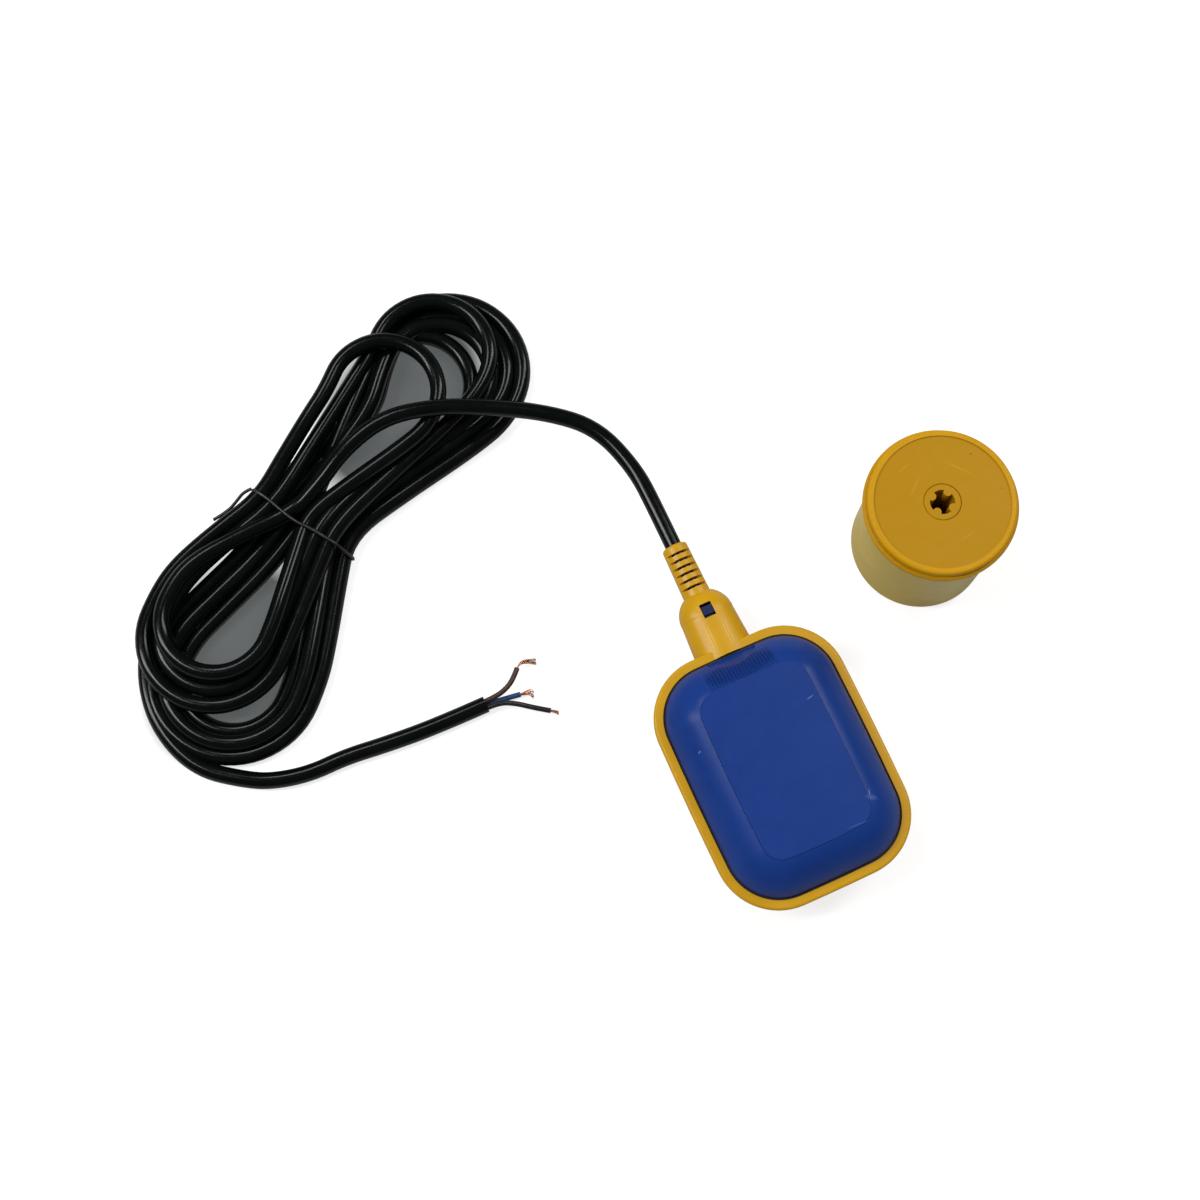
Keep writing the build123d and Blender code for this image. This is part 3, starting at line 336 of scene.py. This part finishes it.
cable_ends = [tie, tie_end]
copper = surface("copper", dark=(0.48, 0.21, 0.11), light=(0.70, 0.38, 0.23), roughness=(0.25, 0.4),
                 grain=3000, depth=0.00002, metallic=1.0)
for colour, (dark, light) in CORE_COLOURS.items():
    insulation = surface(f"{colour}_insulation", dark, light, roughness=(0.35, 0.5), grain=1500,
                         depth=0.00003, mottle=300.0)
    core_route = [(x * MM, y * MM, z * MM) for x, y, z in CORE_ROUTES[colour]]
    core = smooth_curve(f"core_{colour}_insulation", [core_route], CORE_DIAMETER / 2, resolution=8)
    core.data.materials.append(insulation)
    dress(insulation, f"inner_core_{colour}")
    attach(core, "root")
    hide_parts(f"core_{colour}")
    count = WIRE_COUNT[colour]
    wires = [frayed_wire(WIRE_ROUTES[colour], number, count, FRAY[colour]) for number in range(count)]
    strands = smooth_curve(f"wires_{colour}", wires, WIRE_DIAMETER / 2, resolution=4)
    strands.data.materials.append(copper)
    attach(strands, "root")
    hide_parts(f"strands_{colour}")
    cable_ends += [core, strands]


# Cable jacket. A skin of glossy black plastic, extruded round the three cores, with a faint waviness. It
# covers the cable from its cut end to the boot, and goes on inside the float to the capsule.
jacket = surface("cable_jacket", dark=(0.0014, 0.0022, 0.0022), light=(0.0024, 0.0036, 0.0036),
                 roughness=(0.15, 0.21), grain=120, depth=0.00004, specular=0.22)
cable.data.materials.append(jacket)
dress(jacket, "cable_entry")


# Float shell. The float's lower half, its neck and the slotted boot, moulded in one piece in half-glossy
# yellow plastic. Faint pale lines run along the top of the neck's bulb, two at each side of its middle.
# A patch is an oval on the plan: its middle, turn, length and width, in millimetres and degrees
BULB_LINES = [(x, 57.5, 0, 0.5, 14) for x in (-4.3, -3.1, 3.1, 4.3)]
BULB_LINE_COLOUR = (0.80, 0.52, 0.08)
# How far an oval reaches up and down through the object, in metres
OVAL_HEIGHT = 10
# Sockets of a Mix node for colours
MIX_FACTOR = 0
MIX_BASE = 6
MIX_PATCH = 7
MIX_RESULT = 2


def from_middle(material, x, y, turn, length, width):
    """Distance from the middle of an oval, which is 1 at its edge."""
    place = add_node(material, "ShaderNodeTexCoord")
    near = add_node(material, "ShaderNodeMapping", vector_type="TEXTURE", Location=(x * MM, y * MM, 0),
                    Rotation=(0, 0, math.radians(turn)),
                    Scale=(length / 2 * MM, width / 2 * MM, OVAL_HEIGHT))
    away = add_node(material, "ShaderNodeVectorMath", operation="LENGTH")
    join(material, place.outputs["Object"], near.inputs["Vector"])
    join(material, near.outputs["Vector"], away.inputs[0])
    return away.outputs["Value"]


def patches(material, ovals, colour, amount, edge=0.5):
    """Blends a colour over oval patches, full up to an inner edge and gone at the outer one."""
    base = material.node_tree.nodes["Principled BSDF"].inputs["Base Color"]
    for oval in ovals:
        cover = ramp(material, from_middle(material, *oval), (edge, (amount,) * 3), (1, (0, 0, 0)))
        blend = add_node(material, "ShaderNodeMix", data_type="RGBA")
        blend.inputs[MIX_PATCH].default_value = (*colour, 1)
        join(material, cover, blend.inputs[MIX_FACTOR])
        join(material, base.links[0].from_socket, blend.inputs[MIX_BASE])
        join(material, blend.outputs[MIX_RESULT], base)


yellow = surface("yellow_plastic", dark=(0.55, 0.290, 0.001), light=(0.59, 0.312, 0.002),
                 roughness=(0.30, 0.38), grain=1400, depth=0.00002, specular=0.3)
patches(yellow, BULB_LINES, BULB_LINE_COLOUR, amount=0.5)
dress(yellow, "outer_shell")


# Cap and sleeve of the counterweight. The flanged cap closes the body, and the round teeth of the sleeve in
# its middle hold the cable. Both are moulded in yellow plastic, duller than the float's. The cap's face
# inside its raised ring and the sleeve are darkened with painted shade; the face also has a few plain
# strokes and two specks.
# Painted shade over the cap's face inside its raised ring, which takes in the sleeve
CAP_FACE_SHADE = [(96.2, 63.7, 0, 53.6, 53.6)]
CAP_FACE_SHADE_COLOUR = (0.43, 0.215, 0.0)
CAP_STROKES = [(108.2, 73.3, -50.3, 15, 0.6), (89.3, 73.8, 41.7, 11.5, 0.6), (88.6, 82.2, 16, 7, 0.5),
               (99, 47.6, 10, 9, 0.5)]
CAP_STROKE_COLOUR = (0.62, 0.36, 0.02)
CAP_SPECKS = [(114.9, 76.5, 0, 0.8, 0.8), (119.6, 59.2, 0, 0.6, 0.6)]
CAP_SPECK_COLOUR = (0.05, 0.03, 0.01)
cap_yellow = surface("cap_plastic", dark=(0.53, 0.268, 0.001), light=(0.56, 0.285, 0.002),
                     roughness=(0.36, 0.46), grain=1400, depth=0.00002, specular=0.12)
patches(cap_yellow, CAP_FACE_SHADE, CAP_FACE_SHADE_COLOUR, amount=1.0, edge=0.985)
patches(cap_yellow, CAP_STROKES, CAP_STROKE_COLOUR, amount=0.35)
patches(cap_yellow, CAP_SPECKS, CAP_SPECK_COLOUR, amount=0.8)
dress(cap_yellow, "weight_cap", "cable_sleeve")


# Body of the counterweight. A round pot moulded in yellow plastic, which holds the ballast. Its colour is
# made pale by a painted reflection of the white floor on its side. It stands on the floor beside the float,
# and the cap closes its top.
# Painted reflection of the white floor: the pot's yellow is made pale
painted_reflection_yellow = surface("pale_yellow_plastic", dark=(0.52, 0.385, 0.045), light=(0.56, 0.415, 0.055),
                      roughness=(0.34, 0.44), grain=1400, depth=0.00002)
dress(painted_reflection_yellow, "weight_shell")


# Cover. The float's upper half, moulded in deep blue plastic. The hook of its tongue snaps into the latch
# window. The band of fine ribs carries painted shade between its ribs, and the hook painted shade where it
# sits in the window. Handling has left a few pale scuffs, and a painted highlight runs along the lower edge
# of the raised pad.
# Painted shade between the fine ribs: the rib band's oval is darkened
RIB_SHADE_BAND = [(0, 40.3, 0, 31, 9.5)]
RIB_SHADE_COLOUR = (0.004, 0.021, 0.13)
# Painted shade on the hook, where it sits in the shadow of the latch window
HOOK_SHADE = [(0, 67.5, 0, 9, 9)]
HOOK_SHADE_COLOUR = (0.018, 0.021, 0.06)
SCRATCHES = [(19.3, 18, 12, 4, 0.45), (-28.5, 16.6, 30, 1.6, 0.7), (24, -24.6, 70, 3, 0.5)]
SCRATCH_COLOUR = (0.26, 0.38, 0.60)
# A pale scuff, and a painted highlight along the lower edge of the raised pad (the second oval)
SCUFFS_AND_EDGE_HIGHLIGHT = [(24, -26.7, -30, 6, 2.4), (14.5, -34.0, -3, 11, 0.5)]
SCUFF_AND_HIGHLIGHT_COLOUR = (0.10, 0.18, 0.42)
blue = surface("blue_plastic", dark=(0.0070, 0.036, 0.205), light=(0.0078, 0.039, 0.220),
               roughness=(0.30, 0.36), grain=1600, depth=0.00002, specular=0.15)
patches(blue, RIB_SHADE_BAND, RIB_SHADE_COLOUR, amount=0.5, edge=0.85)
patches(blue, HOOK_SHADE, HOOK_SHADE_COLOUR, amount=0.85, edge=0.9)
patches(blue, SCRATCHES, SCRATCH_COLOUR, amount=0.45)
patches(blue, SCUFFS_AND_EDGE_HIGHLIGHT, SCUFF_AND_HIGHLIGHT_COLOUR, amount=0.30)
dress(blue, "top_cover")


# Gaskets and grommet. Soft rings of matt black rubber: one is pressed between the shell and the cover, one
# under the capsule's lid, and the grommet sits in the capsule's wall where the cores go in.
rubber = surface("black_rubber", dark=(0.012, 0.012, 0.012), light=(0.02, 0.02, 0.02),
                 roughness=(0.55, 0.7), grain=2600, depth=0.00004)
dress(rubber, "cover_seal", "capsule_gasket", "capsule_grommet")


# Foam filling. A block of white closed-cell foam that fills the float round the capsule and keeps it up in
# the water. It is held between the shell and the cover.
foam = surface("white_foam", dark=(0.72, 0.72, 0.70), light=(0.82, 0.82, 0.80),
               roughness=(0.7, 0.85), grain=900, depth=0.0003)
dress(foam, "foam_core")


# Capsule and trough. The box that keeps the switch dry, its lid, and the trough that guides the ball, all
# moulded in grey plastic. Screws in the corners hold the lid down on its gasket.
grey = surface("grey_plastic", dark=(0.26, 0.27, 0.29), light=(0.32, 0.33, 0.35),
               roughness=(0.4, 0.5), grain=1500, depth=0.00004)
dress(grey, "capsule_base", "capsule_lid", "ball_track")


# Switch case and potting. The case of the snap-action switch is moulded in hard black phenolic plastic, and
# black resin is poured round the cable where it enters the float. The two have the same dull finish.
phenolic = surface("black_phenolic", dark=(0.02, 0.02, 0.022), light=(0.035, 0.035, 0.037),
                   roughness=(0.4, 0.5), grain=2000, depth=0.00004)
dress(phenolic, "switch_case", "potting_plug")


# Switch cover and plunger. Both are moulded in red plastic. The switch's long screws clamp the cover on the
# case, and the plunger slides in the case, where the lever presses it.
red = surface("red_plastic", dark=(0.42, 0.03, 0.02), light=(0.50, 0.045, 0.03),
              roughness=(0.35, 0.45), grain=1800, depth=0.00003)
dress(red, "switch_cover", "switch_plunger")


# Ball, lever, pin, screws and ferrule. Small pieces of bright steel: the ball rolls in its trough, the
# lever turns on its pin, and the ferrule sits round the cable in the neck.
steel = surface("steel", dark=(0.52, 0.52, 0.54), light=(0.64, 0.64, 0.66),
                roughness=(0.2, 0.35), grain=2500, depth=0.00002, metallic=1.0)
dress(steel, "capsule_screws", "ball_weight", "switch_screws", "switch_lever", "lever_pin", "cable_ferrule")


# Tabs. Three flat tabs stamped from brass stand out of the back of the switch. Each has a hole where one
# of the cores is soldered on.
brass = surface("brass", dark=(0.68, 0.48, 0.20), light=(0.78, 0.58, 0.28),
                roughness=(0.25, 0.4), grain=2500, depth=0.00002, metallic=1.0)
dress(brass, "terminal_closed", "terminal_common", "terminal_open")


# Ballast. A rough cast ring of dark metal inside the counterweight's body. It gives the counterweight its
# weight, and its bore leaves room for the cable.
ballast = surface("cast_ballast", dark=(0.10, 0.10, 0.105), light=(0.17, 0.17, 0.175),
                  roughness=(0.6, 0.8), grain=700, depth=0.0003, metallic=1.0)
dress(ballast, "weight_slug")


# Floor. A wide plain white sheet on which the whole part lies, and which keeps its soft shadows. It glows a
# little where the camera sees it, so that it looks white, and is a plain pale grey to all other light. Seen
# through the hank's two lobes it has a painted shadow, which darkens both its lit colour and its glow.
FLOOR_HALF = 3.0
FLOOR_GREY = 0.42
FLOOR_GLOW = 0.74
FLOOR_BOUNCE = (0.55, 0.55, 0.55, 1)
# Ovals of painted shadow on the floor in the hank's two lobes, the shadow's colour, and where it starts to
# fade
PAINTED_SHADOW_OVALS = [(-183, 135.5, 39, 98, 72), (-76.5, 208.5, 32, 102, 67)]
PAINTED_SHADOW_COLOUR = (0.12, 0.13, 0.13)
PAINTED_SHADOW_EDGE = 0.75
WHITE = (1, 1, 1)
floor_mesh = bpy.data.meshes.new("floor")
floor_form = bmesh.new()
bmesh.ops.create_grid(floor_form, x_segments=1, y_segments=1, size=FLOOR_HALF)
floor_form.to_mesh(floor_mesh)
floor_form.free()
floor = bpy.data.objects.new("floor", floor_mesh)
bpy.context.collection.objects.link(floor)


def show_camera(material, rays, unseen, seen, output):
    """Ends a material or sky with one shader for the camera and another for the rest of the light."""
    either = add_node(material, "ShaderNodeMixShader")
    join(material, rays.outputs["Is Camera Ray"], either.inputs[0])
    join(material, unseen, either.inputs[1])
    join(material, seen, either.inputs[2])
    join(material, either.outputs["Shader"], material.node_tree.nodes[output].inputs["Surface"])


floor_paint = bpy.data.materials.new("floor_paint")
floor_paint.use_nodes = True
floor_paint.node_tree.nodes.remove(floor_paint.node_tree.nodes["Principled BSDF"])
# Painted shadow: the floor's colour, darkened in the two ovals, feeds both its lit colour and its glow
painted_shadow_colour = add_node(floor_paint, "ShaderNodeVectorMath", operation="MULTIPLY")
for lobe, factor in zip(PAINTED_SHADOW_OVALS, painted_shadow_colour.inputs):
    away = from_middle(floor_paint, *lobe)
    join(floor_paint, ramp(floor_paint, away, (PAINTED_SHADOW_EDGE, PAINTED_SHADOW_COLOUR), (1, WHITE)), factor)
lit_colour = add_node(floor_paint, "ShaderNodeVectorMath", operation="SCALE", Scale=FLOOR_GREY)
lit = add_node(floor_paint, "ShaderNodeBsdfDiffuse")
glow = add_node(floor_paint, "ShaderNodeEmission", Strength=FLOOR_GLOW)
seen_floor = add_node(floor_paint, "ShaderNodeAddShader")
unseen_floor = add_node(floor_paint, "ShaderNodeBsdfDiffuse", Color=FLOOR_BOUNCE)
floor_rays = add_node(floor_paint, "ShaderNodeLightPath")
join(floor_paint, painted_shadow_colour.outputs["Vector"], lit_colour.inputs[0])
join(floor_paint, lit_colour.outputs["Vector"], lit.inputs["Color"])
join(floor_paint, painted_shadow_colour.outputs["Vector"], glow.inputs["Color"])
join(floor_paint, lit.outputs["BSDF"], seen_floor.inputs[0])
join(floor_paint, glow.outputs["Emission"], seen_floor.inputs[1])
show_camera(floor_paint, floor_rays, unseen_floor.outputs["BSDF"], seen_floor.outputs["Shader"],
            "Material Output")
floor_mesh.materials.append(floor_paint)


# Lights. Two long softboxes at the sides give the jacket its long highlights, and a small weak one hangs
# behind the part. Sizes are in metres, and the last number is each one's power in watts.
SOFTBOXES = [
    ("left_box", (-1.2, 0.6, 1.5), 0.3, 1.4, 20),
    ("right_box", (1.1, 0.3, 1.4), 0.3, 1.4, 13),
    ("top_box", (-0.35, 1.25, 1.7), 0.6, 0.4, 7),
]
LIGHT_AIM = (0, 0.1, 0)
for name, place, width, length, power in SOFTBOXES:
    light_data = bpy.data.lights.new(name, "AREA")
    light_data.shape = "RECTANGLE"
    light_data.size = width
    light_data.size_y = length
    light_data.energy = power
    light = bpy.data.objects.new(name, light_data)
    bpy.context.collection.objects.link(light)
    light.location = place
    light.rotation_euler = facing(place, LIGHT_AIM)


# Sky. A weak even light from all sides, which is dimmer where glossy pieces mirror it. The camera sees a
# plain white backdrop instead.
SKY_STRENGTH = 0.33
MIRRORED_SKY = (0.25, 0.25, 0.25)
world = bpy.data.worlds.new("sky")
bpy.context.scene.world = world
world.use_nodes = True
sky = world.node_tree.nodes["Background"]
sky.inputs["Strength"].default_value = SKY_STRENGTH
sky_rays = add_node(world, "ShaderNodeLightPath")
sky_colour = ramp(world, sky_rays.outputs["Is Glossy Ray"], (0, WHITE), (1, MIRRORED_SKY))
join(world, sky_colour, sky.inputs["Color"])
backdrop = add_node(world, "ShaderNodeBackground", Color=(*WHITE, 1), Strength=1.0)
show_camera(world, sky_rays, sky.outputs["Background"], backdrop.outputs["Background"], "World Output")
bpy.context.scene.view_settings.view_transform = "Standard"
